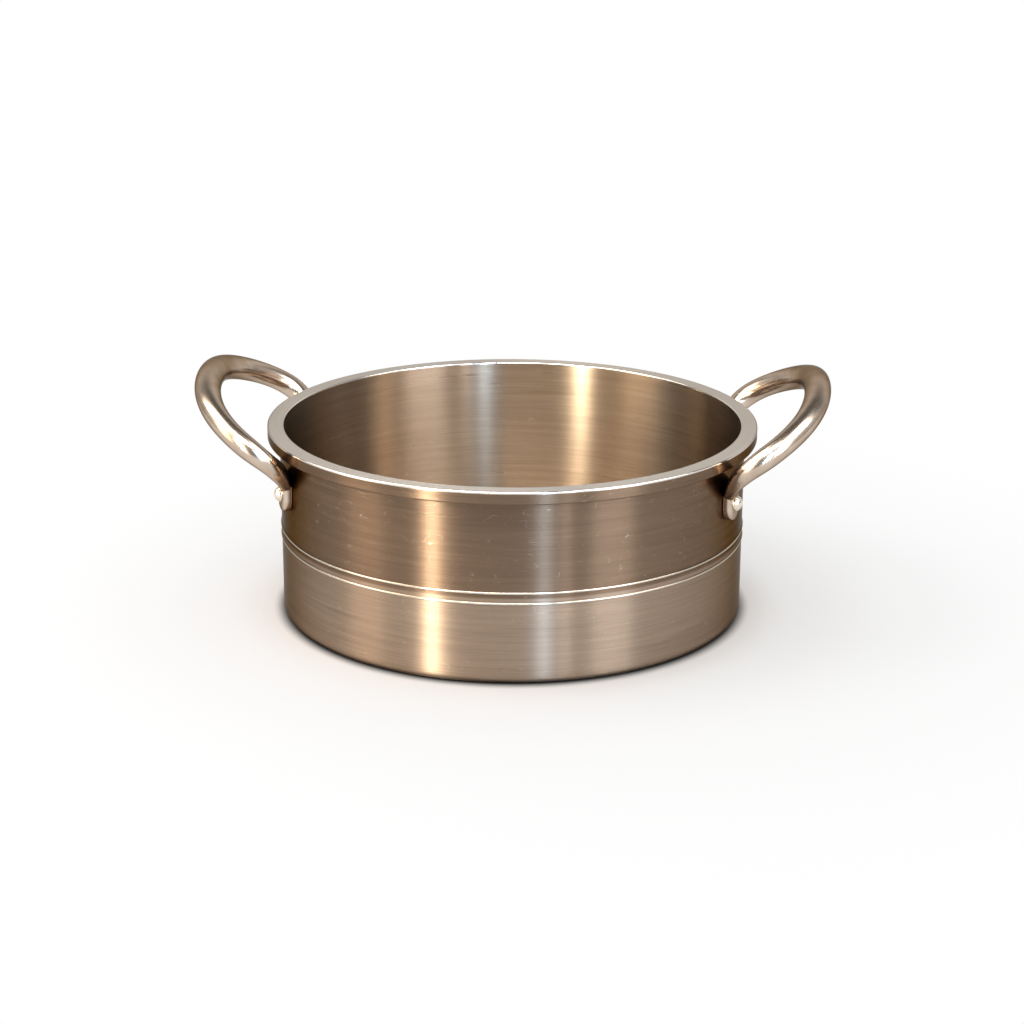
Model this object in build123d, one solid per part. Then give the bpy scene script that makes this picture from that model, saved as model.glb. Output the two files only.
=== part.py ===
"""A two-handled bronze saucepot.

The vessel is one turned piece: a flat base, a straight wall with two fine raised
beads below half way up, and a thick flat rim that stands out past the wall. Two
loop handles are forged from round bar. Each one is flattened at both ends into a
foot that lies on the wall, and one domed rivet holds each foot. The rivets' inner
heads are countersunk and dressed flush with the inside of the wall.

Millimetres. Z is up and the pot stands on z = 0, with its axis on the Z axis.
The handles stand on +X (right) and -X (left). The front is -Y.
"""

import os
from math import cos, pi, radians, sin

from build123d import *

# Vessel
inner_radius = 120.0
wall_thickness = 2.3
base_thickness = 3.5
pot_height = 100.8
base_corner_radius = 3.5
floor_corner_radius = 10.0

# Rim
rim_overhang = 6.3
rim_band_height = 6.5
rim_edge_radius = 0.7
rim_root_radius = 0.8
mouth_edge_radius = 0.6

# Beads round the wall
lower_bead_height = 42.0
bead_spacing = 5.4
bead_proud = 0.5
bead_half_height = 0.6

# Feet of the handles
foot_angle = 23.3
foot_half_width = 6.6
foot_thickness = 4.4
foot_below_rivet = 9.0
foot_above_rivet = 5.2
foot_squareness = 4.0
foot_edge_radius = 0.8
foot_sunk = 1.0

# Handle loop: the pull points of its curve. Each stands off the wall face, at an
# angle from the handle's middle, and rises above the rim's top (or drops below it).
bend_lift = 5.2
leg_standoff = 16.4
leg_angle = 34.6
leg_drop = 5.4
shoulder_standoff = 25.8
shoulder_angle = 28.9
shoulder_rise = 2.5
arm_standoff = 40.9
arm_angle = 21.4
arm_rise = 9.4
crown_standoff = 36.5
crown_half_spread = 34.1
crown_rise = 21.4

# Handle bar
leg_half_width = 5.9
leg_half_thickness = 5.8
crown_half_width = 7.2
crown_half_thickness = 6.3
bar_squareness = 2.0
outline_points = 16
stations_per_half = 13
length_steps = 400
stations_per_foot = 4
leg_share = 0.5
crown_share = 0.9

# Rivets
rivet_height = 72.7
shank_radius = 2.4
dome_radius = 4.0
dome_height = 3.6
spot_depth = 0.35
countersink_radius = 4.0
countersink_depth = 1.4

# Clearances
foot_seat_gap = 0.05
shank_gap = 0.05
head_seat_gap = 0.02
spot_margin = 0.25

# Worked-out sizes
wall_radius = inner_radius + wall_thickness
rim_radius = wall_radius + rim_overhang
rim_underside = pot_height - rim_band_height
foot_face_radius = wall_radius + foot_seat_gap
foot_crest_radius = foot_face_radius + foot_thickness
spot_radius = foot_crest_radius - spot_depth
head_seat_radius = spot_radius + head_seat_gap
foot_half_thickness = (foot_thickness + foot_sunk) / 2
foot_centre_radius = foot_crest_radius - foot_half_thickness
foot_tip_height = rivet_height - foot_below_rivet
foot_top_height = rivet_height + foot_above_rivet
tool_reach = wall_radius / 2
full_turn = 360.0
rivet_angles = {
    "right_front_rivet": -foot_angle,
    "right_rear_rivet": foot_angle,
    "left_front_rivet": full_turn / 2 + foot_angle,
    "left_rear_rivet": full_turn / 2 - foot_angle,
}


def save(shape, node):
    """Write one sub-part to its own STEP file."""
    export_step(shape, f"parts/{node}.step")


def round_corner(profile, radius, height, size):
    """Round the profile's corner at one place."""
    corner = profile.vertices().sort_by_distance((radius, height, 0))[0]
    return fillet(corner, size)


def vessel_blank():
    """The turned vessel, before the beads and the rivet holes."""
    outline = Polyline(
        (0, 0),
        (wall_radius, 0),
        (wall_radius, rim_underside),
        (rim_radius, rim_underside),
        (rim_radius, pot_height),
        (inner_radius, pot_height),
        (inner_radius, base_thickness),
        (0, base_thickness),
        (0, 0),
    )
    profile = make_face(outline)
    profile = round_corner(profile, wall_radius, 0, base_corner_radius)
    profile = round_corner(profile, inner_radius, base_thickness, floor_corner_radius)
    profile = round_corner(profile, wall_radius, rim_underside, rim_root_radius)
    profile = round_corner(profile, rim_radius, rim_underside, rim_edge_radius)
    profile = round_corner(profile, rim_radius, pot_height, rim_edge_radius)
    profile = round_corner(profile, inner_radius, pot_height, mouth_edge_radius)
    return revolve(Plane.XZ * profile, Axis.Z, full_turn)


def bead(height):
    """A half-round ring that stands proud of the wall at one height."""
    section = Pos(wall_radius, height) * Ellipse(bead_proud, bead_half_height)
    return revolve(Plane.XZ * section, Axis.Z, full_turn)


def radial_plane(angle, height, radius):
    """A plane that faces straight out of the pot's axis at one angle."""
    outward = Vector(cos(radians(angle)), sin(radians(angle)), 0)
    origin = outward * radius + Vector(0, 0, height)
    return Plane(origin=origin, x_dir=(0, 0, 1), z_dir=outward)


def along_rivet(angle, start, end, start_radius, end_radius):
    """A round tool on a rivet's axis, from one distance off the pot's axis to another."""
    place = radial_plane(angle, rivet_height, start)
    if start_radius == end_radius:
        tool = Cylinder(start_radius, end - start, align=(Align.CENTER, Align.CENTER, Align.MIN))
    else:
        tool = Cone(
            start_radius,
            end_radius,
            end - start,
            align=(Align.CENTER, Align.CENTER, Align.MIN),
        )
    return place.location * tool


def rivet(angle):
    """One rivet: flush countersunk inner head, shank, and a domed outer head."""
    inside = inner_radius - countersink_depth
    seat = inner_radius + countersink_depth
    shank = along_rivet(angle, inside, head_seat_radius, shank_radius, shank_radius)
    # The flare carries on past the wall's inner face, so the dressing cut trims it flush.
    flare = countersink_radius - shank_radius
    cone = along_rivet(angle, inside, seat, shank_radius + 2 * flare, shank_radius)
    sphere_radius = (dome_radius**2 + dome_height**2) / (2 * dome_height)
    ball_place = head_seat_radius + dome_height - sphere_radius
    ball = radial_plane(angle, rivet_height, ball_place).location * Sphere(sphere_radius)
    outside = along_rivet(
        angle,
        head_seat_radius,
        head_seat_radius + 2 * sphere_radius,
        2 * dome_radius,
        2 * dome_radius,
    )
    dome = ball & outside
    dressing = Cylinder(inner_radius, pot_height, align=(Align.CENTER, Align.CENTER, Align.MIN))
    return (shank + cone + dome) - dressing


def rivet_hole(angle):
    """The countersunk hole for one rivet through the wall."""
    inside = inner_radius - countersink_depth
    seat = inner_radius + countersink_depth
    bore = shank_radius + shank_gap
    flare = countersink_radius - shank_radius
    drill = along_rivet(angle, inside, foot_crest_radius, bore, bore)
    cone = along_rivet(angle, inside, seat, bore + 2 * flare, bore)
    return drill + cone


def bar_outline(half_width, half_thickness, squareness):
    """A closed outline that goes from an oval to a rounded slab as squareness grows."""
    points = []
    for step in range(outline_points):
        turn = 2 * pi * step / outline_points
        across = cos(turn)
        through = sin(turn)
        scale = (abs(across) ** squareness + abs(through) ** squareness) ** (-1 / squareness)
        points.append((half_width * across * scale, half_thickness * through * scale))
    return make_face(Spline(*points, periodic=True))


def off_wall(standoff, angle, height):
    """A point given by its distance off the wall face, its angle and its height."""
    radius = wall_radius + standoff
    return Vector(radius * cos(radians(angle)), radius * sin(radians(angle)), height)


def blend(low, high, share):
    """A value part of the way from one size to another, eased at both ends."""
    eased = min(max(share, 0.0), 1.0)
    eased = eased * eased * (3 - 2 * eased)
    return low + (high - low) * eased


def pull_points():
    """The pull points of half a handle's curve, from the foot's top to the crown."""
    foot_standoff = foot_centre_radius - wall_radius
    foot_top = off_wall(foot_standoff, foot_angle, foot_top_height)
    crown = off_wall(crown_standoff, 0, pot_height + crown_rise)
    return [
        foot_top,
        foot_top + Vector(0, 0, bend_lift),
        off_wall(leg_standoff, leg_angle, pot_height - leg_drop),
        off_wall(shoulder_standoff, shoulder_angle, pot_height + shoulder_rise),
        off_wall(arm_standoff, arm_angle, pot_height + arm_rise),
        crown + Vector(0, crown_half_spread, 0),
        crown,
    ]


def on_curve(points, share):
    """A point on the curve and the curve's direction there."""
    while len(points) > 2:
        points = [a * (1 - share) + b * share for a, b in zip(points, points[1:])]
    start, end = points
    return start * (1 - share) + end * share, (end - start).normalized()


def even_shares(points):
    """Shares of the curve that place the sections the same length of bar apart."""
    marks = [step / length_steps for step in range(length_steps + 1)]
    places = [on_curve(points, mark)[0] for mark in marks]
    lengths = [0.0]
    for before, after in zip(places, places[1:]):
        lengths.append(lengths[-1] + (after - before).length)
    shares = []
    for step in range(stations_per_half):
        wanted = lengths[-1] * step / (stations_per_half - 1)
        nearest = min(range(len(marks)), key=lambda mark: abs(lengths[mark] - wanted))
        shares.append(marks[nearest])
    return shares


def bar_sizes(share):
    """Half width, half thickness and squareness of the bar part of the way to the crown."""
    if share < leg_share:
        part = share / leg_share
        return (
            blend(foot_half_width, leg_half_width, part),
            blend(foot_half_thickness, leg_half_thickness, part),
            blend(foot_squareness, bar_squareness, part),
        )
    part = (share - leg_share) / (crown_share - leg_share)
    return (
        blend(leg_half_width, crown_half_width, part),
        blend(leg_half_thickness, crown_half_thickness, part),
        bar_squareness,
    )


def bar_section(origin, tangent, facing, share):
    """One cross-section of the bar, square to its curve."""
    place = Plane(origin=origin, x_dir=tangent.cross(facing), z_dir=tangent)
    return place * bar_outline(*bar_sizes(share))


def across(vector):
    """The same vector on the other side of the handle's middle."""
    return Vector(vector.X, -vector.Y, vector.Z)


def bent_bar():
    """The bent bar of the right handle, from one foot round the loop to the other."""
    points = pull_points()
    upright = Vector(0, 0, 1)
    outward = Vector(cos(radians(foot_angle)), sin(radians(foot_angle)), 0)
    loop_facing = Vector(crown_rise + leg_drop + bend_lift, 0, -crown_standoff).normalized()
    tip = Vector(points[0].X, points[0].Y, foot_tip_height)
    stations = []
    for step in range(stations_per_foot):
        place = tip + (points[0] - tip) * (step / stations_per_foot)
        stations.append((place, upright, outward, 0.0))
    for share in even_shares(points):
        place, tangent = on_curve(points, share)
        turned = blend(0.0, 1.0, share / crown_share)
        facing = outward * (1 - turned) + loop_facing * turned
        stations.append((place, tangent, facing, share))
    far_side = [
        (across(place), across(tangent) * -1, across(facing), share)
        for place, tangent, facing, share in reversed(stations[:-1])
    ]
    return loft([bar_section(*station) for station in stations + far_side])


def tip_cutter(angle):
    """What is cut away below a foot to leave its end round."""
    middle = foot_tip_height + foot_half_width
    place = radial_plane(angle, middle, foot_centre_radius - foot_half_width)
    block = Box(
        4 * foot_half_width,
        4 * foot_half_width,
        2 * foot_half_width,
        align=(Align.MAX, Align.CENTER, Align.MIN),
    )
    tongue = Cylinder(
        foot_half_width,
        2 * foot_half_width,
        align=(Align.CENTER, Align.CENTER, Align.MIN),
    )
    return place.location * (block - tongue)


def right_handle():
    """The handle on +X with its feet shaped, seated and drilled."""
    handle = bent_bar()
    handle -= Cylinder(
        foot_face_radius, pot_height, align=(Align.CENTER, Align.CENTER, Align.MIN)
    )
    for angle in (foot_angle, -foot_angle):
        handle -= tip_cutter(angle)
        bore = shank_radius + shank_gap
        handle -= along_rivet(angle, tool_reach, rim_radius, bore, bore)
        spot = dome_radius + spot_margin
        handle -= along_rivet(angle, spot_radius, rim_radius, spot, spot)
    return handle


def vessel():
    """The finished vessel, with its beads and drilled for the rivets."""
    pot = vessel_blank() + bead(lower_bead_height) + bead(lower_bead_height + bead_spacing)
    for angle in rivet_angles.values():
        pot -= rivet_hole(angle)
    return pot


if __name__ == "__main__":
    os.makedirs("parts", exist_ok=True)
    save(vessel(), "pot_body")
    handle = right_handle()
    save(handle, "right_handle")
    save(mirror(handle, Plane.YZ), "left_handle")
    for name, angle in rivet_angles.items():
        save(rivet(angle), name)
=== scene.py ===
"""The looks of a two-handled bronze saucepot.

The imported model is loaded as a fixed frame. A turned vessel, a pair of polished
loop handles and their rivet heads replace its plain nodes, each in its own finish,
and a plain white studio stands round them.

Everything is in metres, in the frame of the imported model: Z is up, the pot stands
on z = 0 with its axis on the Z axis, the handles stand on +X and -X, and the front
is -Y.
"""

from __future__ import annotations

import logging
import math
from dataclasses import dataclass, field
from enum import Enum

import bmesh
import bpy
from mathutils import Matrix, Vector

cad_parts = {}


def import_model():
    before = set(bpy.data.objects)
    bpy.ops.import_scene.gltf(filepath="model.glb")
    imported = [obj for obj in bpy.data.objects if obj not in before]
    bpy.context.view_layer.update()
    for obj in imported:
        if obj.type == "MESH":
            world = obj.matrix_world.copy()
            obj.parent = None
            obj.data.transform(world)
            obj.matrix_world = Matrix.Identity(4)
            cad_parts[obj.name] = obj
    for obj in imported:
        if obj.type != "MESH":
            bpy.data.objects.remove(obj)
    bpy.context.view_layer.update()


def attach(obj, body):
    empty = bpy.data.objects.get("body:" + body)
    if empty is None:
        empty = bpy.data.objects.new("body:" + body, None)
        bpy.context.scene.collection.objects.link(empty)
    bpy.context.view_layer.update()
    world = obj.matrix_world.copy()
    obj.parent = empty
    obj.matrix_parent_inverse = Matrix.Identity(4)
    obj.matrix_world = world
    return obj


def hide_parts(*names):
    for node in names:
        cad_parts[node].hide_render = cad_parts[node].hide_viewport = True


MM = 0.001
FULL_TURN = 2.0 * math.pi
QUARTER_TURN = 0.5 * math.pi
WELD_DISTANCE = 0.004 * MM
NOISE_ROUGHNESS = 0.55
TENTHS_OF_MICRON = 1e7

# The sockets of a Mix node that mixes colours
MIX_SHARE, MIX_LOW, MIX_HIGH, MIX_RESULT = 0, 6, 7, 2

log = logging.getLogger("saucepot")


class Side(Enum):
    """The side of the pot that a handle stands on, as its angle round the axis."""

    RIGHT = 0.0
    LEFT = math.pi


class End(Enum):
    """The end of a handle that a rivet holds, as a sign on the foot's angle."""

    FRONT = -1.0
    REAR = 1.0


class Detail(Enum):
    """How many finer layers a noise has."""

    SMOOTH = 1.0
    FINE = 2.0
    RICH = 3.0


# Edit-mode helpers


def deselect_all() -> None:
    """Leave no object selected, so an operator acts on one piece alone."""
    if bpy.context.object is not None and bpy.context.object.mode != "OBJECT":
        bpy.ops.object.mode_set(mode="OBJECT")
    bpy.ops.object.select_all(action="DESELECT")


def pick(piece: bpy.types.Object) -> None:
    """Select one piece and make it the active object.

    Args:
        piece: The object that the next operators act on.
    """
    deselect_all()
    piece.select_set(True)
    bpy.context.view_layer.objects.active = piece


def finish_mesh(piece: bpy.types.Object, smooth_angle: float) -> None:
    """Merge doubles, turn the faces outwards and shade the piece smoothly.

    Args:
        piece: The mesh object to finish.
        smooth_angle: Edges sharper than this angle, in radians, stay sharp.
    """
    pick(piece)
    bpy.ops.object.mode_set(mode="EDIT")
    bpy.ops.mesh.select_all(action="SELECT")
    bpy.ops.mesh.remove_doubles(threshold=WELD_DISTANCE)
    bpy.ops.mesh.normals_make_consistent(inside=False)
    bpy.ops.object.mode_set(mode="OBJECT")
    bpy.ops.object.shade_smooth_by_angle(angle=smooth_angle)
    deselect_all()


def settle(piece: bpy.types.Object) -> None:
    """Put the piece's place into its mesh, so its object sits at the origin."""
    pick(piece)
    bpy.ops.object.transform_apply(location=True, rotation=True, scale=True)
    deselect_all()


def draw_outline(name: str, points: list[Vector]) -> bpy.types.Object:
    """Draw an open outline by extruding one vertex from point to point.

    Args:
        name: The new object's name.
        points: The outline's points, in order.

    Returns:
        A mesh object, in edit mode, with the outline's edges.
    """
    deselect_all()
    bpy.ops.mesh.primitive_plane_add(size=MM, location=(0.0, 0.0, 0.0))
    piece = bpy.context.object
    piece.name = name
    piece.data.name = name
    bpy.ops.object.mode_set(mode="EDIT")
    bpy.ops.mesh.select_all(action="SELECT")
    bpy.ops.mesh.merge(type="CENTER")
    bpy.ops.transform.translate(value=points[0])
    for before, after in zip(points, points[1:]):
        bpy.ops.mesh.extrude_region_move(TRANSFORM_OT_translate={"value": after - before})
    return piece


def turn_outline(
    piece: bpy.types.Object, axis: Vector, steps: int, smooth_angle: float
) -> None:
    """Spin an outline round an axis through the origin into a closed, turned piece.

    Args:
        piece: The outline, in edit mode.
        axis: The direction of the axis.
        steps: How many steps go round the turn.
        smooth_angle: Edges sharper than this angle, in radians, stay sharp.
    """
    bpy.ops.mesh.select_all(action="SELECT")
    bpy.ops.mesh.spin(
        steps=steps, angle=FULL_TURN, center=(0.0, 0.0, 0.0), axis=axis, use_auto_merge=True
    )
    finish_mesh(piece, smooth_angle)


def corner_arc(
    corner: tuple[float, float],
    radius: float,
    incoming: tuple[float, float],
    outgoing: tuple[float, float],
    steps: int = 6,
    support: float = 0.35,
) -> list[tuple[float, float]]:
    """Round a square corner of an outline, with a holding point before and after it.

    Args:
        corner: The corner, in millimetres.
        radius: The radius of the rounding, in millimetres.
        incoming: The direction along which the outline comes to the corner.
        outgoing: The direction along which it leaves.
        steps: How many straight steps stand for the arc.
        support: How far outside the arc the holding points lie, as a share of radius.

    Returns:
        The points from before the arc to after it.
    """
    start = (corner[0] - incoming[0] * radius, corner[1] - incoming[1] * radius)
    centre = (start[0] + outgoing[0] * radius, start[1] + outgoing[1] * radius)
    reach = radius * (1.0 + support)
    points = [(corner[0] - incoming[0] * reach, corner[1] - incoming[1] * reach)]
    for step in range(steps + 1):
        turn = QUARTER_TURN * step / steps
        along = radius * math.sin(turn)
        back = radius * math.cos(turn)
        points.append(
            (
                centre[0] + incoming[0] * along - outgoing[0] * back,
                centre[1] + incoming[1] * along - outgoing[1] * back,
            )
        )
    points.append((corner[0] + outgoing[0] * reach, corner[1] + outgoing[1] * reach))
    return points


# Shader expressions


class Value:
    """A number that a shader works out, so that shader maths reads as Python."""

    def __init__(self, recipe: Recipe, socket: bpy.types.NodeSocket) -> None:
        """Wrap one output socket of a recipe's node."""
        self.recipe = recipe
        self.socket = socket

    def _maths(self, operation: str, *inputs: Value | float) -> Value:
        """Add one Math node and wrap what it gives."""
        return self.recipe.node("ShaderNodeMath", {"operation": operation}, *inputs)

    def __add__(self, other: Value | float) -> Value:
        """Add."""
        return self._maths("ADD", self, other)

    def __radd__(self, other: float) -> Value:
        """Add to a number."""
        return self._maths("ADD", other, self)

    def __sub__(self, other: Value | float) -> Value:
        """Subtract."""
        return self._maths("SUBTRACT", self, other)

    def __rsub__(self, other: float) -> Value:
        """Subtract from a number."""
        return self._maths("SUBTRACT", other, self)

    def __mul__(self, other: Value | float) -> Value:
        """Multiply."""
        return self._maths("MULTIPLY", self, other)

    def __rmul__(self, other: float) -> Value:
        """Multiply a number."""
        return self._maths("MULTIPLY", other, self)

    def __truediv__(self, other: Value | float) -> Value:
        """Divide."""
        return self._maths("DIVIDE", self, other)

    def __pow__(self, other: float) -> Value:
        """Raise to a power."""
        return self._maths("POWER", self, other)

    def clamped(self) -> Value:
        """The same value kept between 0 and 1."""
        return self.recipe.node("ShaderNodeClamp", {}, self, 0.0, 1.0)

    def ramp(self, low: float, high: float) -> Value:
        """A smooth step from 0 below low to 1 above high.

        Args:
            low: Where the step starts.
            high: Where it ends.

        Returns:
            The eased share of the way.
        """
        settings = {"interpolation_type": "SMOOTHSTEP"}
        return self.recipe.node("ShaderNodeMapRange", settings, self, low, high, 0.0, 1.0)


class Recipe:
    """The node tree of one material or world, and the tools to write it."""

    def __init__(self, owner: bpy.types.Material | bpy.types.World) -> None:
        """Start an empty tree on a material or a world."""
        owner.use_nodes = True
        self.tree = owner.node_tree
        self.tree.nodes.clear()

    def add(
        self, kind: str, settings: dict[str, object], inputs: dict[int | str, object]
    ) -> bpy.types.Node:
        """Add a node of any type.

        Args:
            kind: The node's type.
            settings: The node's own settings, set before its sockets.
            inputs: What goes into its sockets, by number or name: a Value, a number,
                a colour or None to leave one alone.

        Returns:
            The new node.
        """
        made = self.tree.nodes.new(kind)
        for name, setting in settings.items():
            setattr(made, name, setting)
        for which, given in inputs.items():
            self.feed(made.inputs[which], given)
        return made

    def node(
        self, kind: str, settings: dict[str, object], *inputs: object, out: int | str = 0
    ) -> Value:
        """Add a node whose sockets are filled in order, and wrap one of its outputs.

        Args:
            kind: The node's type.
            settings: The node's own settings.
            inputs: What goes into its sockets, in order.
            out: The output socket that is wanted.

        Returns:
            The wanted output, wrapped.
        """
        made = self.add(kind, settings, dict(enumerate(inputs)))
        return Value(self, made.outputs[out])

    def feed(self, socket: bpy.types.NodeSocket, given: object) -> None:
        """Link or set one input socket.

        Args:
            socket: The socket to feed.
            given: A Value to link, a number or colour to set, or None.
        """
        if given is None:
            return
        if isinstance(given, Value):
            self.tree.links.new(given.socket, socket)
        else:
            socket.default_value = given

    def noise(
        self, at: Value, scale: float, detail: Detail, around: Value | float = 0.0
    ) -> Value:
        """Four-way noise between 0 and 1.

        Args:
            at: The place in the pattern.
            scale: How many features fit in one unit of the place.
            detail: How many finer layers it has.
            around: The fourth coordinate.

        Returns:
            The noise's value.
        """
        made = self.add(
            "ShaderNodeTexNoise",
            {"noise_dimensions": "4D", "normalize": True},
            {
                "Vector": at,
                "W": around,
                "Scale": scale,
                "Detail": detail.value,
                "Roughness": NOISE_ROUGHNESS,
            },
        )
        return Value(self, made.outputs[0])

    def mixed(self, share: Value | float, low: object, high: object) -> Value:
        """Mix two colours.

        Args:
            share: How much of the second colour is in it.
            low: The first colour.
            high: The second colour.

        Returns:
            The mixed colour.
        """
        inputs = {MIX_SHARE: share, MIX_LOW: low, MIX_HIGH: high}
        made = self.add("ShaderNodeMix", {"data_type": "RGBA"}, inputs)
        return Value(self, made.outputs[MIX_RESULT])

    def bump(self, height: Value, strength: float, distance: float) -> Value:
        """A bumped normal.

        Args:
            height: The height, between 0 and 1.
            strength: How much of the bump shows.
            distance: How far a height of 1 stands up, in metres.

        Returns:
            The normal for the shader.
        """
        inputs = {"Strength": strength, "Distance": distance, "Height": height}
        made = self.add("ShaderNodeBump", {}, inputs)
        return Value(self, made.outputs["Normal"])

    def split(self, at: Value) -> tuple[Value, Value, Value]:
        """The three coordinates of a place or a direction."""
        made = self.add("ShaderNodeSeparateXYZ", {}, {0: at})
        x, y, z = (Value(self, socket) for socket in made.outputs)
        return x, y, z

    def place(self) -> Value:
        """The place on the piece, in metres."""
        return self.node("ShaderNodeTexCoord", {}, out="Object")

    def rays(self) -> tuple[Value, Value]:
        """Whether a ray is the camera's own, and whether it was mirrored or refracted."""
        path = self.add("ShaderNodeLightPath", {}, {})
        camera = Value(self, path.outputs["Is Camera Ray"])
        glossy = Value(self, path.outputs["Is Glossy Ray"])
        through = Value(self, path.outputs["Is Transmission Ray"])
        return camera, (glossy + through).clamped()

    def grey(self, tone: Value) -> Value:
        """A grey of the given tone."""
        return self.node("ShaderNodeCombineXYZ", {}, tone, tone, tone)

    def metal(self, inputs: dict[str, object]) -> None:
        """Close the tree with a metal shader.

        Args:
            inputs: The shader's sockets by name, with what goes into each.
        """
        shader = self.add("ShaderNodeBsdfPrincipled", {}, {"Metallic": 1.0, **inputs})
        self.close("ShaderNodeOutputMaterial", Value(self, shader.outputs[0]))

    def close(self, kind: str, shader: Value) -> None:
        """Link the last shader to a new output node of the given type."""
        self.add(kind, {}, {0: shader})


# Finishes

Colour = tuple[float, float, float, float]


@dataclass(frozen=True)
class BrushedBronze:
    """Bronze brushed round the pot's axis, in zones of different tone.

    The wall above the beads is darker than the one below: partly its own tone and partly
    painted shade. The rim's top face and the beads' crests are painted bright, as painted
    highlights. The zones' heights and radii are in millimetres.
    """

    # The wall above the beads is darker: partly its own tone, partly painted shade.
    upper_wall_with_painted_shade: Colour = (0.225, 0.153, 0.105, 1.0)
    lower_wall: Colour = (0.375, 0.280, 0.208, 1.0)
    inside: Colour = (0.44, 0.345, 0.258, 1.0)
    # The rim's top face is painted near white, as a painted highlight.
    rim: Colour = (0.94, 0.865, 0.785, 1.0)
    # The beads' crests are painted light, as a painted highlight.
    bead: Colour = (0.86, 0.76, 0.63, 1.0)
    scratched: Colour = (0.74, 0.64, 0.53, 1.0)
    edge_tint: Colour = (0.31, 0.285, 0.26, 1.0)
    tone_border: float = 44.7
    tone_border_blur: float = 0.6
    zone_blur: float = 0.3
    rim_height: float = 99.8
    inside_radius: float = 121.2
    bead_radius: float = 122.6
    bead_radius_blur: float = 0.1
    bead_zone: tuple[float, float] = (40.4, 49.0)
    bead_zone_blur: float = 0.5
    roughness: float = 0.30
    roughness_swing: float = 0.10
    rim_smoother: float = 0.10
    bead_smoother: float = 0.06
    hairline_rougher: float = 0.06
    gouge_smoother: float = 0.08
    anisotropy: float = 0.95
    across_brushing: float = 0.25
    fine_lines_per_metre: float = 2600.0
    broad_lines_per_metre: float = 420.0
    line_wander: float = 2.2
    tone_swing: float = 0.30
    tone_reach: tuple[float, float] = (0.25, 0.75)
    fine_in_tone: float = 0.55
    rim_evenness: float = 0.8
    gouge_broad: tuple[float, float] = (0.64, 0.68)
    gouge_fine: tuple[float, float] = (0.5, 0.6)
    fine_in_height: float = 0.7
    broad_in_height: float = 0.5
    line_strength: float = 0.25
    line_depth: float = 0.012
    hairlines_per_metre: float = 60.0
    hairline_spread: float = 0.7
    hairline_width: float = 0.006
    hairline_stretch: float = 2.6
    hairline_strength: float = 0.30
    hairline_patches_per_metre: float = 160.0
    hairline_patch: tuple[float, float] = (0.54, 0.62)
    hairline_seeds: tuple[tuple[float, float], ...] = ((0.0, 9.1), (3.7, 10.1))

    def hairlines(self, r: Recipe, at: Value) -> Value:
        """Short, fine, curved scratches from use, between 0 and 1.

        Args:
            r: The recipe that the nodes go into.
            at: The place on the piece.

        Returns:
            The scratches.
        """
        stretch = (1.0, 1.0, self.hairline_stretch)
        stretched = r.node("ShaderNodeVectorMath", {"operation": "MULTIPLY"}, at, stretch)
        layers = []
        for layer, (seed, patch_seed) in enumerate(self.hairline_seeds):
            per_metre = self.hairlines_per_metre * (1.0 + self.hairline_spread * layer)
            contour = r.noise(stretched, per_metre, Detail.SMOOTH, seed)
            off_line = ((contour - 0.5) ** 2.0) ** 0.5
            patch = r.noise(at, self.hairline_patches_per_metre, Detail.FINE, patch_seed)
            line = 1.0 - off_line.ramp(0.0, self.hairline_width)
            layers.append(line * patch.ramp(*self.hairline_patch))
        return (layers[0] + layers[1]).clamped()

    def lines(self, r: Recipe, around: tuple[Value, Value, Value, Value]) -> list[Value]:
        """The fine and the broad turned lines, each between 0 and 1.

        Args:
            r: The recipe that the nodes go into.
            around: The radius, the height and the two shares of the direction.

        Returns:
            The fine lines, then the broad ones.
        """
        radius, z, east, north = around
        made = []
        for per_metre, detail in (
            (self.fine_lines_per_metre, Detail.FINE),
            (self.broad_lines_per_metre, Detail.RICH),
        ):
            at = r.node(
                "ShaderNodeCombineXYZ",
                {},
                radius * per_metre,
                z * per_metre,
                east * self.line_wander,
            )
            made.append(r.noise(at, 1.0, detail, north * self.line_wander))
        return made

    @staticmethod
    def step(value: Value, edge: float, blur: float) -> Value:
        """A step from 0 to 1 at an edge in millimetres, blurred to each side of it."""
        return value.ramp((edge - blur) * MM, (edge + blur) * MM)

    def on_beads(self, radius: Value, z: Value) -> Value:
        """Where the surface is a bead's crest, between 0 and 1."""
        low, high = self.bead_zone
        blur = self.bead_zone_blur
        proud = self.step(radius, self.bead_radius, self.bead_radius_blur)
        under_top = 1.0 - z.ramp((high - blur) * MM, high * MM)
        return proud * under_top * z.ramp(low * MM, (low + blur) * MM)

    def material(self) -> bpy.types.Material:
        """Build the material: turned lines, hairline scratches and zones of tone, partly
        painted light and shade.
        """
        made = bpy.data.materials.new("brushed_bronze")
        r = Recipe(made)
        at = r.place()
        x, y, z = r.split(at)
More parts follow.
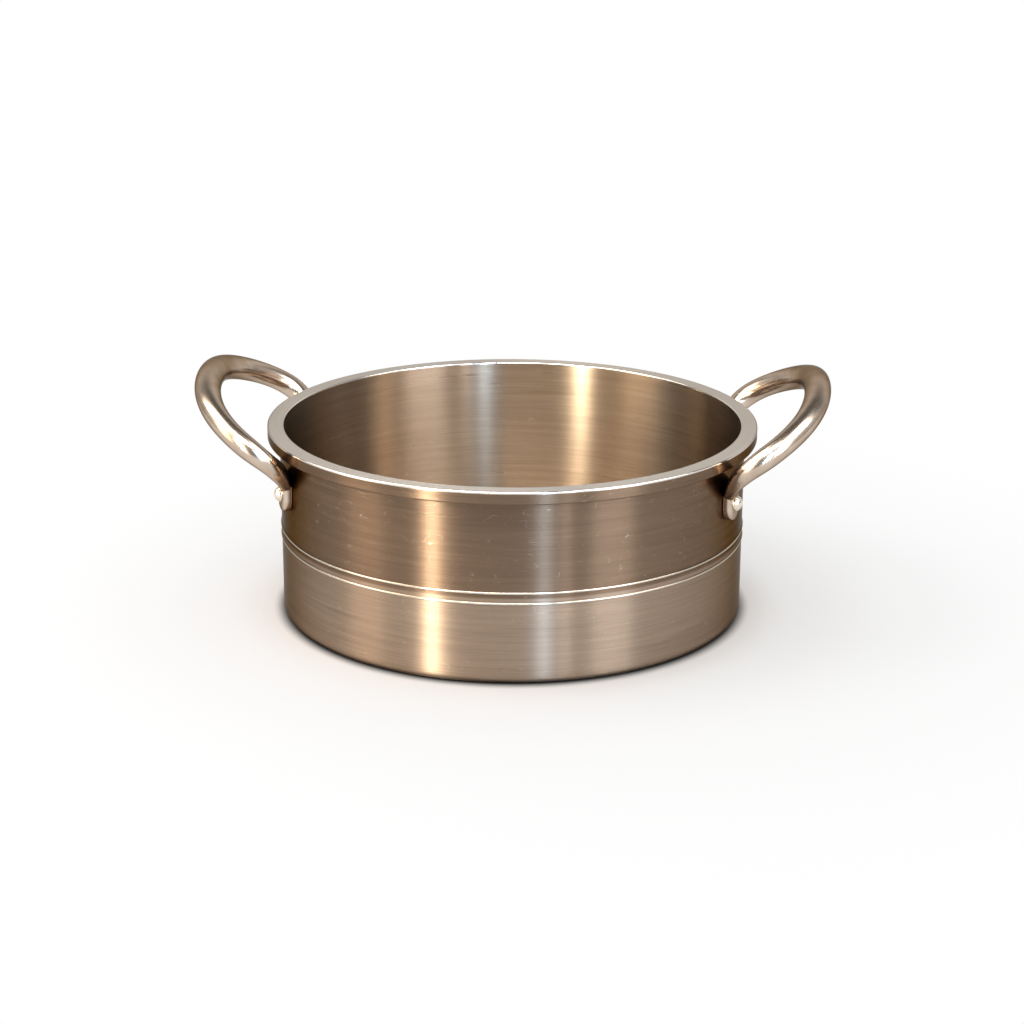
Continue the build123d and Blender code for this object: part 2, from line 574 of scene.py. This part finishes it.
        # The small number keeps the axis itself from a division by zero.
        radius = (x * x + y * y + 1e-9) ** 0.5
        fine, broad = self.lines(r, (radius, z, x / radius, y / radius))
        on_rim = self.step(z, self.rim_height, self.zone_blur)
        on_bead = self.on_beads(radius, z)
        within = 1.0 - self.step(radius, self.inside_radius, self.zone_blur)
        worn = self.hairlines(r, at) * (1.0 - on_rim)
        above = self.step(z, self.tone_border, self.tone_border_blur)
        # Above the beads the wall is darker, partly its own tone and partly painted shade.
        colour = r.mixed(above, self.lower_wall, self.upper_wall_with_painted_shade)
        colour = r.mixed(within, colour, self.inside)
        # Painted highlight: the rim's top face is coloured near white.
        colour = r.mixed(on_rim, colour, self.rim)
        # Painted highlight: the beads' crests are coloured light.
        colour = r.mixed(on_bead, colour, self.bead)
        colour = r.mixed(self.hairline_strength * worn, colour, self.scratched)
        tone = (1.0 - self.fine_in_tone) * broad + self.fine_in_tone * fine
        tone = tone.ramp(*self.tone_reach)
        shade = 1.0 - self.tone_swing * (1.0 - tone) * (1.0 - self.rim_evenness * on_rim)
        times = {"operation": "MULTIPLY"}
        colour = r.node("ShaderNodeVectorMath", times, colour, r.grey(shade))
        gouge = broad.ramp(*self.gouge_broad) * fine.ramp(*self.gouge_fine)
        roughness = self.roughness + self.roughness_swing * (fine - 0.5)
        roughness = roughness - self.gouge_smoother * gouge - self.rim_smoother * on_rim
        roughness = roughness - self.bead_smoother * on_bead + self.hairline_rougher * worn
        height = self.fine_in_height * fine + self.broad_in_height * broad
        r.metal(
            {
                "Base Color": colour,
                "Roughness": roughness,
                "Specular Tint": self.edge_tint,
                "Anisotropic": self.anisotropy,
                "Anisotropic Rotation": self.across_brushing,
                "Normal": r.bump(height, self.line_strength, self.line_depth * MM),
            }
        )
        return made


@dataclass(frozen=True)
class PolishedBronze:
    """Bronze polished by hand on a wheel, with a faint wave left in it."""

    light: Colour = (0.62, 0.505, 0.41, 1.0)
    dark: Colour = (0.54, 0.43, 0.34, 1.0)
    edge_tint: Colour = (0.20, 0.165, 0.135, 1.0)
    roughness: float = 0.235
    roughness_swing: float = 0.04
    waves_per_metre: float = 45.0
    wave_strength: float = 0.20
    wave_depth: float = 0.06
    hazes_per_metre: float = 110.0
    tone_reach: tuple[float, float] = (0.3, 0.7)

    def material(self) -> bpy.types.Material:
        """Build the material: a soft mirror with a faint haze and a slight wave."""
        made = bpy.data.materials.new("polished_bronze")
        r = Recipe(made)
        at = r.place()
        wave = r.noise(at, self.waves_per_metre, Detail.SMOOTH)
        haze = r.noise(at, self.hazes_per_metre, Detail.FINE)
        colour = r.mixed(haze.ramp(*self.tone_reach), self.dark, self.light)
        r.metal(
            {
                "Base Color": colour,
                "Specular Tint": self.edge_tint,
                "Roughness": self.roughness + self.roughness_swing * (haze - 0.5),
                "Normal": r.bump(wave, self.wave_strength, self.wave_depth * MM),
            }
        )
        return made


@dataclass(frozen=True)
class PaleBronze:
    """The paler metal of the rivets, hammered round and left satin."""

    light: Colour = (0.86, 0.79, 0.66, 1.0)
    dark: Colour = (0.74, 0.65, 0.52, 1.0)
    roughness: float = 0.27
    roughness_swing: float = 0.1
    marks_per_metre: float = 500.0
    tone_reach: tuple[float, float] = (0.3, 0.7)
    mark_strength: float = 0.3
    mark_depth: float = 0.06

    def material(self) -> bpy.types.Material:
        """Build the material: a satin metal with soft hammer marks."""
        made = bpy.data.materials.new("pale_bronze")
        r = Recipe(made)
        at = r.place()
        marks = r.noise(at, self.marks_per_metre, Detail.FINE)
        colour = r.mixed(marks.ramp(*self.tone_reach), self.dark, self.light)
        r.metal(
            {
                "Base Color": colour,
                "Roughness": self.roughness + self.roughness_swing * (marks - 0.5),
                "Normal": r.bump(marks, self.mark_strength, self.mark_depth * MM),
            }
        )
        return made


# The vessel


@dataclass
class Vessel:
    """The turned vessel: base, wall, beads and rim, in millimetres."""

    inner_radius: float = 120.0
    wall_radius: float = 122.3
    rim_radius: float = 128.6
    height: float = 100.8
    floor: float = 3.5
    rim_underside: float = 94.3
    base_corner: float = 3.5
    floor_corner: float = 10.0
    rim_edge: float = 0.7
    rim_root: float = 0.8
    mouth_edge: float = 0.6
    bead_heights: tuple[float, float] = (42.0, 47.4)
    bead_proud: float = 0.5
    bead_half_height: float = 0.6
    bead_support: float = 1.5
    bead_steps: int = 8
    root_steps: int = 4
    edge_steps: int = 5
    floor_steps: int = 10
    floor_support: float = 0.1
    middle_share: float = 0.5
    steps_round: int = 320
    smooth_angle: float = 35.0
    finish: BrushedBronze = field(default_factory=BrushedBronze)

    def bead(self, height: float) -> list[tuple[float, float]]:
        """One bead's outline with a holding point above and below it."""
        reach = self.bead_half_height * self.bead_support
        points = [(self.wall_radius, height - reach)]
        for step in range(self.bead_steps + 1):
            turn = math.pi * (step / self.bead_steps - 0.5)
            points.append(
                (
                    self.wall_radius + self.bead_proud * math.cos(turn),
                    height + self.bead_half_height * math.sin(turn),
                )
            )
        points.append((self.wall_radius, height + reach))
        return points

    def outline(self) -> list[Vector]:
        """The vessel's half section, from the middle of its underside to its floor."""
        up, down, out, back = (0.0, 1.0), (0.0, -1.0), (1.0, 0.0), (-1.0, 0.0)
        wall, rim, inner = self.wall_radius, self.rim_radius, self.inner_radius
        root, edge = self.root_steps, self.edge_steps
        points = [(0.0, 0.0), (wall * self.middle_share, 0.0)]
        points += corner_arc((wall, 0.0), self.base_corner, out, up)
        for height in self.bead_heights:
            points += self.bead(height)
        points += corner_arc((wall, self.rim_underside), self.rim_root, up, out, root)
        points += corner_arc((rim, self.rim_underside), self.rim_edge, out, up, edge)
        points += corner_arc((rim, self.height), self.rim_edge, up, back, edge)
        points += corner_arc((inner, self.height), self.mouth_edge, back, down, edge)
        points += corner_arc(
            (inner, self.floor),
            self.floor_corner,
            down,
            back,
            self.floor_steps,
            self.floor_support,
        )
        points += [(inner * self.middle_share, self.floor), (0.0, self.floor)]
        return [Vector((radius, 0.0, height)) * MM for radius, height in points]

    def build(self) -> bpy.types.Object:
        """Spin the outline into the vessel and dress it.

        Returns:
            The finished vessel.
        """
        piece = draw_outline("vessel", self.outline())
        smooth_angle = math.radians(self.smooth_angle)
        turn_outline(piece, Vector((0.0, 0.0, 1.0)), self.steps_round, smooth_angle)
        piece.data.materials.append(self.finish.material())
        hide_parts("pot_body")
        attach(piece, "root")
        return piece


# The handles


def eased(low: float, high: float, share: float) -> float:
    """A value part of the way from one size to another, eased at both ends."""
    part = min(max(share, 0.0), 1.0)
    part = part * part * (3.0 - 2.0 * part)
    return low + (high - low) * part


@dataclass
class Station:
    """One cross-section of a handle's bar: an ellipse, or a squarer form of one."""

    place: Vector
    tangent: Vector
    facing: Vector
    half_width: float
    half_thickness: float
    squareness: float


@dataclass
class Loop:
    """One loop handle forged from round bar, in millimetres, as it stands on +X.

    The points leg, shoulder and arm pull the curve. Each is its distance off the wall,
    its angle round the axis and its height above the rim.
    """

    side: Side
    wall_radius: float = 122.3
    rim_top: float = 100.8
    rivet_height: float = 72.7
    foot_angle: float = 23.3
    foot_half_width: float = 6.6
    foot_thickness: float = 4.4
    foot_sunk: float = 1.0
    foot_below_rivet: float = 9.0
    foot_above_rivet: float = 5.2
    foot_squareness: float = 4.0
    foot_edge: float = 0.9
    seat_gap: float = 0.05
    bend_lift: float = 5.2
    leg: tuple[float, float, float] = (16.4, 34.6, -5.4)
    shoulder: tuple[float, float, float] = (25.8, 28.9, 2.5)
    arm: tuple[float, float, float] = (40.9, 21.4, 9.4)
    crown_standoff: float = 36.5
    crown_half_spread: float = 34.1
    crown_rise: float = 21.4
    leg_half_width: float = 5.9
    leg_half_thickness: float = 5.8
    crown_half_width: float = 7.2
    crown_half_thickness: float = 6.3
    bar_squareness: float = 2.0
    leg_share: float = 0.5
    crown_share: float = 0.9
    tip_rings: int = 14
    tip_narrowest: float = 0.04
    tip_squareness: float = 3.0
    foot_rings: int = 4
    rings_per_half: int = 40
    ring_vertices: int = 48
    curve_marks: int = 400
    start_radius: float = 6.0
    smooth_angle: float = 50.0
    finish: PolishedBronze = field(default_factory=PolishedBronze)

    def off_wall(self, standoff: float, angle: float, height: float) -> Vector:
        """A point by its distance off the wall face, its angle and its height."""
        radius = self.wall_radius + standoff
        turn = math.radians(angle)
        return Vector((radius * math.cos(turn), radius * math.sin(turn), height))

    def pull_points(self) -> list[Vector]:
        """The pull points of half the loop's curve, from the foot's top to the crown."""
        crest = self.seat_gap + self.foot_thickness
        standoff = crest - (self.foot_thickness + self.foot_sunk) / 2.0
        top = self.rivet_height + self.foot_above_rivet
        foot = self.off_wall(standoff, self.foot_angle, top)
        crown = self.off_wall(self.crown_standoff, 0.0, self.rim_top + self.crown_rise)
        return [
            foot,
            foot + Vector((0.0, 0.0, self.bend_lift)),
            self.off_wall(self.leg[0], self.leg[1], self.rim_top + self.leg[2]),
            self.off_wall(self.shoulder[0], self.shoulder[1], self.rim_top + self.shoulder[2]),
            self.off_wall(self.arm[0], self.arm[1], self.rim_top + self.arm[2]),
            crown + Vector((0.0, self.crown_half_spread, 0.0)),
            crown,
        ]

    def on_curve(self, share: float) -> tuple[Vector, Vector]:
        """A point on the curve and the curve's direction there."""
        points = self.pull_points()
        while len(points) > 2:
            points = [a.lerp(b, share) for a, b in zip(points, points[1:])]
        return points[0].lerp(points[1], share), (points[1] - points[0]).normalized()

    def even_shares(self) -> list[float]:
        """Shares of the curve that place the rings the same length of bar apart."""
        steps = self.curve_marks
        places = [self.on_curve(step / steps)[0] for step in range(steps + 1)]
        lengths = [0.0]
        for before, after in zip(places, places[1:]):
            lengths.append(lengths[-1] + (after - before).length)
        shares = []
        for ring in range(self.rings_per_half + 1):
            wanted = lengths[-1] * ring / self.rings_per_half
            nearest = min(range(steps + 1), key=lambda mark: abs(lengths[mark] - wanted))
            shares.append(nearest / steps)
        return shares

    def foot_stations(self, outward: Vector) -> list[Station]:
        """The rings of one foot, from its round tip up to the bend."""
        top = self.pull_points()[0]
        tip_height = self.rivet_height - self.foot_below_rivet
        upright = Vector((0.0, 0.0, 1.0))
        half_width = self.foot_half_width
        half_thickness = (self.foot_thickness + self.foot_sunk) / 2.0
        stations = []
        steps = self.tip_rings
        for step in range(steps + 1):
            turn = QUARTER_TURN * step / steps
            narrow = max(math.sin(turn), self.tip_narrowest)
            height = tip_height + half_width * (1.0 - math.cos(turn))
            flat = min(1.0, 3.0 * turn / math.pi)
            thin = half_thickness - self.foot_edge * (1.0 - flat) ** 2
            place = Vector((top.x, top.y, height))
            squareness = eased(self.tip_squareness, self.foot_squareness, step / steps)
            stations.append(
                Station(place, upright, outward, half_width * narrow, thin, squareness)
            )
        square = self.foot_squareness
        for step in range(1, self.foot_rings):
            height = eased(tip_height + half_width, top.z, step / self.foot_rings)
            place = Vector((top.x, top.y, height))
            stations.append(
                Station(place, upright, outward, half_width, half_thickness, square)
            )
        return stations

    def half_stations(self) -> list[Station]:
        """All the rings of the half of the loop on the +Y side, foot to crown."""
        turn = math.radians(self.foot_angle)
        outward = Vector((math.cos(turn), math.sin(turn), 0.0))
        reach = self.crown_rise - self.leg[2] + self.bend_lift
        loop_facing = Vector((reach, 0.0, -self.crown_standoff)).normalized()
        stations = self.foot_stations(outward)
        foot_half_thickness = (self.foot_thickness + self.foot_sunk) / 2.0
        for share in self.even_shares():
            place, tangent = self.on_curve(share)
            turned = eased(0.0, 1.0, share / self.crown_share)
            facing = outward.lerp(loop_facing, turned)
            if share < self.leg_share:
                part = share / self.leg_share
                width = eased(self.foot_half_width, self.leg_half_width, part)
                thickness = eased(foot_half_thickness, self.leg_half_thickness, part)
                squareness = eased(self.foot_squareness, self.bar_squareness, part)
            else:
                part = (share - self.leg_share) / (self.crown_share - self.leg_share)
                width = eased(self.leg_half_width, self.crown_half_width, part)
                thickness = eased(self.leg_half_thickness, self.crown_half_thickness, part)
                squareness = self.bar_squareness
            stations.append(Station(place, tangent, facing, width, thickness, squareness))
        return stations

    def stations(self) -> list[Station]:
        """All the rings of the loop, from the rear foot's tip to the front foot's."""
        half = self.half_stations()
        far_side = []
        for near in reversed(half[:-1]):
            place = Vector((near.place.x, -near.place.y, near.place.z))
            tangent = Vector((-near.tangent.x, near.tangent.y, -near.tangent.z))
            facing = Vector((near.facing.x, -near.facing.y, near.facing.z))
            far_side.append(
                Station(
                    place,
                    tangent,
                    facing,
                    near.half_width,
                    near.half_thickness,
                    near.squareness,
                )
            )
        return half + far_side

    def ring_point(self, station: Station, turn: float) -> Vector:
        """A point on a ring, kept outside the wall, in metres."""
        width_way = station.tangent.cross(station.facing).normalized()
        through_way = station.tangent.cross(width_way)
        across = math.cos(turn)
        through = math.sin(turn)
        power = station.squareness
        scale = (abs(across) ** power + abs(through) ** power) ** (-1.0 / power)
        point = station.place + width_way * (station.half_width * across * scale)
        point += through_way * (station.half_thickness * through * scale)
        radius = math.hypot(point.x, point.y)
        seat = self.wall_radius + self.seat_gap
        if radius < seat:
            point.x *= seat / radius
            point.y *= seat / radius
        return point * MM

    def build(self) -> bpy.types.Object:
        """Extrude a ring of vertices along the bar and dress the handle.

        Returns:
            The finished handle.
        """
        name = f"{self.side.name.lower()}_loop"
        deselect_all()
        bpy.ops.mesh.primitive_circle_add(
            vertices=self.ring_vertices, radius=self.start_radius * MM, fill_type="NGON"
        )
        piece = bpy.context.object
        piece.name = name
        piece.data.name = name
        stations = self.stations()
        bpy.ops.object.mode_set(mode="EDIT")
        bpy.ops.mesh.select_all(action="SELECT")
        mesh = bmesh.from_edit_mesh(piece.data)
        turns = [math.atan2(v.co.y, v.co.x) for v in mesh.verts]
        for vertex, turn in zip(mesh.verts, turns):
            vertex.co = self.ring_point(stations[0], turn)
        for before, after in zip(stations, stations[1:]):
            old = {self.key(self.ring_point(before, turn)): turn for turn in turns}
            bpy.ops.mesh.extrude_region_move(TRANSFORM_OT_translate={"value": (0, 0, 0)})
            mesh = bmesh.from_edit_mesh(piece.data)
            for vertex in mesh.verts:
                if vertex.select:
                    vertex.co = self.ring_point(after, old[self.key(vertex.co)])
            bmesh.update_edit_mesh(piece.data)
        finish_mesh(piece, math.radians(self.smooth_angle))
        if self.side is Side.LEFT:
            piece.rotation_euler = (0.0, 0.0, self.side.value)
            settle(piece)
        piece.data.materials.append(self.finish.material())
        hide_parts(f"{self.side.name.lower()}_handle")
        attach(piece, "root")
        return piece

    @staticmethod
    def key(point: Vector) -> tuple[int, int, int]:
        """A point rounded to a tenth of a micron, to know it again."""
        x, y, z = (round(number * TENTHS_OF_MICRON) for number in point)
        return x, y, z


# The rivets


@dataclass
class Rivet:
    """One rivet, in millimetres: a domed head outside and a head dressed off inside."""

    side: Side
    end: End
    inner_radius: float = 120.0
    seat_radius: float = 126.42
    height: float = 72.7
    foot_angle: float = 23.3
    shank_radius: float = 2.4
    dome_radius: float = 4.0
    dome_height: float = 3.6
    dome_lip: float = 0.25
    inner_head_radius: float = 3.9
    inner_head_depth: float = 1.4
    inner_head_edge: float = 0.1
    dressed_under: float = 0.12
    lip_start: tuple[float, float] = (0.1, 0.06)
    dome_steps: int = 12
    steps_round: int = 64
    smooth_angle: float = 40.0
    finish: PaleBronze = field(default_factory=PaleBronze)

    def outline(self) -> list[Vector]:
        """Half the rivet's section along its axis, from the inner head to the dome."""
        # The inner head is dressed off with the wall, so all of it lies just under it.
        reach = math.sqrt(self.inner_radius**2 - self.inner_head_radius**2)
        inside = reach + self.dressed_under
        points = [
            (inside, 0.0),
            (inside, self.inner_head_radius - self.inner_head_edge),
            (inside + self.inner_head_edge, self.inner_head_radius),
            (inside + self.inner_head_depth, self.shank_radius),
            (self.seat_radius, self.shank_radius),
            (self.seat_radius, self.dome_radius - self.dome_lip),
            (self.seat_radius + self.lip_start[0], self.dome_radius - self.lip_start[1]),
            (self.seat_radius + self.dome_lip, self.dome_radius),
        ]
        rise = self.dome_height - self.dome_lip
        for step in range(1, self.dome_steps + 1):
            turn = QUARTER_TURN * step / self.dome_steps
            along = self.seat_radius + self.dome_lip + rise * math.sin(turn)
            points.append((along, self.dome_radius * math.cos(turn)))
        return [Vector((along, off, 0.0)) * MM for along, off in points]

    def build(self) -> bpy.types.Object:
        """Spin the rivet, turn it to its place and dress it.

        Returns:
            The finished rivet.
        """
        name = f"{self.side.name.lower()}_{self.end.name.lower()}_rivet"
        piece = draw_outline(f"{name}_head", self.outline())
        smooth_angle = math.radians(self.smooth_angle)
        turn_outline(piece, Vector((1.0, 0.0, 0.0)), self.steps_round, smooth_angle)
        away = 1.0 if self.side is Side.RIGHT else -1.0
        angle = self.side.value + away * self.end.value * math.radians(self.foot_angle)
        piece.rotation_euler = (0.0, 0.0, angle)
        piece.location = (0.0, 0.0, self.height * MM)
        settle(piece)
        piece.data.materials.append(self.finish.material())
        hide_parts(name)
        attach(piece, "root")
        return piece


# The studio


@dataclass(frozen=True)
class Softbox:
    """One soft lamp that stands round the pot and faces it.

    Its azimuth and elevation are in degrees, from the front towards +X and from level
    upwards, its sizes in metres and its power in watts. A lamp that doesn't light the
    floor shows in the metal alone.
    """

    name: str
    azimuth: float
    elevation: float
    distance: float
    width: float
    height: float
    power: float
    colour: tuple[float, float, float]
    lights_floor: bool

    def hang(self, target: Vector) -> None:
        """Make the lamp and turn it to the target.

        Args:
            target: The point that it faces.
        """
        deselect_all()
        turn = math.radians(self.azimuth)
        lift = math.radians(self.elevation)
        away = Vector(
            (
                math.sin(turn) * math.cos(lift),
                -math.cos(turn) * math.cos(lift),
                math.sin(lift),
            )
        )
        bpy.ops.object.light_add(type="AREA", location=target + away * self.distance)
        lamp = bpy.context.object
        lamp.name = self.name
        lamp.rotation_euler = away.to_track_quat("Z", "Y").to_euler()
        lamp.data.shape = "RECTANGLE"
        lamp.data.size = self.width
        lamp.data.size_y = self.height
        lamp.data.energy = self.power
        lamp.data.color = self.colour
        lamp.visible_diffuse = self.lights_floor


@dataclass
class Studio:
    """A plain white studio: a floor, a world, soft lamps and the camera.

    Lengths are in metres and angles in degrees. A pair of numbers is where a soft step
    starts and ends, as a share of a ray's direction.
    """

    view_turn: float = 3.0
    camera_reach: float = 1.1686
    camera_height: float = 0.43025
    camera_pitch: float = 18.06
    camera_roll: float = 0.25
    focal_pixels: float = 2301.3
    image_pixels: float = 1024.0
    sensor_mm: float = 36.0
    floor_size: float = 6.0
    nearest_seen: float = 0.01
    aim_height: float = 0.06
    floor_tone: float = 0.93
    # The floor's tone at the pot's edge, as a share, in a painted contact shadow.
    contact_shadow_tone: float = 0.04
    pool_radius: float = 0.22
    white_radius: float = 0.42
    shadow_lift: float = 0.35
    foot_radius: float = 0.1195
    # The painted contact shadow under the pot's edge fades out by this radius.
    contact_shadow_radius: float = 0.1285
    lift_radius: float = 0.150
    room_light: float = 0.97
    dark_side: float = 0.08
    backdrop_side: tuple[float, float] = (0.45, 0.85)
    backdrop_top: tuple[float, float] = (0.40, 0.80)
    wing_light: float = 0.55
    wing_side: tuple[float, float] = (0.35, 0.85)
    wing_foot: tuple[float, float] = (-0.05, 0.12)
    wing_top: tuple[float, float] = (0.5, 0.8)
    lamps: tuple[Softbox, ...] = (
        Softbox("warm_strip", -34.5, 12.0, 3.0, 0.28, 2.8, 140.0, (1.0, 0.91, 0.74), False),
        Softbox("cool_strip", 18.0, 14.0, 3.0, 0.24, 2.8, 46.0, (0.50, 0.72, 1.0), False),
        Softbox("thin_strip", 28.0, 14.0, 3.0, 0.12, 2.8, 14.0, (0.95, 0.97, 1.0), False),
        Softbox("cool_side", 51.0, 30.0, 3.0, 1.15, 3.6, 74.0, (0.88, 0.94, 1.0), False),
        Softbox("warm_side", -70.0, 30.0, 3.0, 1.10, 3.6, 56.0, (1.0, 0.78, 0.54), False),
        Softbox("right_wing", 80.0, 50.0, 1.5, 0.8, 1.2, 12.0, (0.95, 0.97, 1.0), False),
        Softbox("left_wing", -96.0, 50.0, 1.5, 0.8, 1.2, 12.0, (1.0, 0.95, 0.88), False),
        Softbox("front_box", -14.0, 64.0, 1.5, 0.8, 0.6, 26.0, (1.0, 0.97, 0.92), False),
        Softbox("key_box", -75.0, 58.0, 0.85, 0.5, 0.5, 1.3, (1.0, 1.0, 1.0), True),
    )

    def add_floor(self) -> None:
        """Lay the pale floor: white to the camera, keeping the shadow, with a painted contact
        shadow.
        """
        deselect_all()
        bpy.ops.mesh.primitive_plane_add(size=self.floor_size, location=(0.0, 0.0, 0.0))
        floor = bpy.context.object
        floor.name = "studio_floor"
        made = bpy.data.materials.new("studio_floor")
        r = Recipe(made)
        x, y, _ = r.split(r.place())
        radius = (x * x + y * y) ** 0.5
        away = radius.ramp(self.pool_radius, self.white_radius)
        camera, mirrored = r.rays()
        seen = (camera + mirrored).clamped()
        # Painted contact shadow: the floor's colour darkens in a narrow ring under the pot's
        # edge.
        clear = radius.ramp(self.foot_radius, self.contact_shadow_radius)
        tone = self.floor_tone * (self.contact_shadow_tone + (1.0 - self.contact_shadow_tone) * clear)
        cloth = r.node("ShaderNodeBsdfDiffuse", {}, r.grey(tone))
        white = r.node("ShaderNodeEmission", {})
        near = self.shadow_lift * radius.ramp(self.foot_radius, self.lift_radius)
        lift = near + (1.0 - near) * away
        mix = r.node("ShaderNodeMixShader", {}, lift * seen, cloth, white)
        r.close("ShaderNodeOutputMaterial", mix)
        floor.data.materials.append(made)

    def light_world(self) -> None:
        """Give the world a white backdrop and a darker studio on the camera's side."""
        world = bpy.data.worlds.new("studio_world")
        bpy.context.scene.world = world
        r = Recipe(world)
        east, north, up = r.split(r.node("ShaderNodeTexCoord", {}, out="Generated"))
        camera, mirrored = r.rays()
        behind = north.ramp(*self.backdrop_side)
        low = 1.0 - up.ramp(*self.backdrop_top)
        wings = (east * east).ramp(*self.wing_side) * up.ramp(*self.wing_foot)
        wings = self.wing_light * (wings * (1.0 - up.ramp(*self.wing_top)))
        room = self.dark_side + (1.0 - self.dark_side) * (behind * low)
        room = room + wings * (1.0 - behind)
        mirror = mirrored * (1.0 - camera)
        strength = camera + mirror * room + (1.0 - camera) * (1.0 - mirror) * self.room_light
        white = (1.0, 1.0, 1.0, 1.0)
        r.close("ShaderNodeOutputWorld", r.node("ShaderNodeBackground", {}, white, strength))

    def add_camera(self) -> None:
        """Stand the camera where the photographer stood."""
        turn = math.radians(self.view_turn)
        pitch = math.radians(self.camera_pitch)
        roll = math.radians(self.camera_roll)
        forward = Vector(
            (
                -math.sin(turn) * math.cos(pitch),
                math.cos(turn) * math.cos(pitch),
                -math.sin(pitch),
            )
        )
        right = Vector((math.cos(turn), math.sin(turn), 0.0))
        upward = right.cross(forward)
        tilted = right * math.cos(roll) + upward * math.sin(roll)
        upright = tilted.cross(forward)
        facing = Matrix((tilted, upright, -forward)).transposed()
        place = Vector(
            (
                self.camera_reach * math.sin(turn),
                -self.camera_reach * math.cos(turn),
                self.camera_height,
            )
        )
        deselect_all()
        bpy.ops.object.camera_add(location=place, rotation=facing.to_euler())
        camera = bpy.context.object
        camera.name = "photo_camera"
        camera.data.sensor_width = self.sensor_mm
        camera.data.lens = self.sensor_mm * self.focal_pixels / self.image_pixels
        camera.data.clip_start = self.nearest_seen
        bpy.context.scene.camera = camera

    def build(self) -> None:
        """Set up the whole studio."""
        self.add_camera()
        self.add_floor()
        self.light_world()
        for lamp in self.lamps:
            lamp.hang(Vector((0.0, 0.0, self.aim_height)))
        bpy.context.scene.view_settings.view_transform = "Standard"


def main() -> None:
    """Load the frame, build the pieces and the studio, and log each piece's face count."""
    logging.basicConfig(level=logging.INFO, format="%(message)s")
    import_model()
    Studio().build()
    piece = Vessel().build()
    log.info("built %s with %d faces", piece.name, len(piece.data.polygons))
    for side in Side:
        piece = Loop(side).build()
        log.info("built %s with %d faces", piece.name, len(piece.data.polygons))
        for end in End:
            piece = Rivet(side, end).build()
            log.info("built %s with %d faces", piece.name, len(piece.data.polygons))


if __name__ == "__main__":
    main()
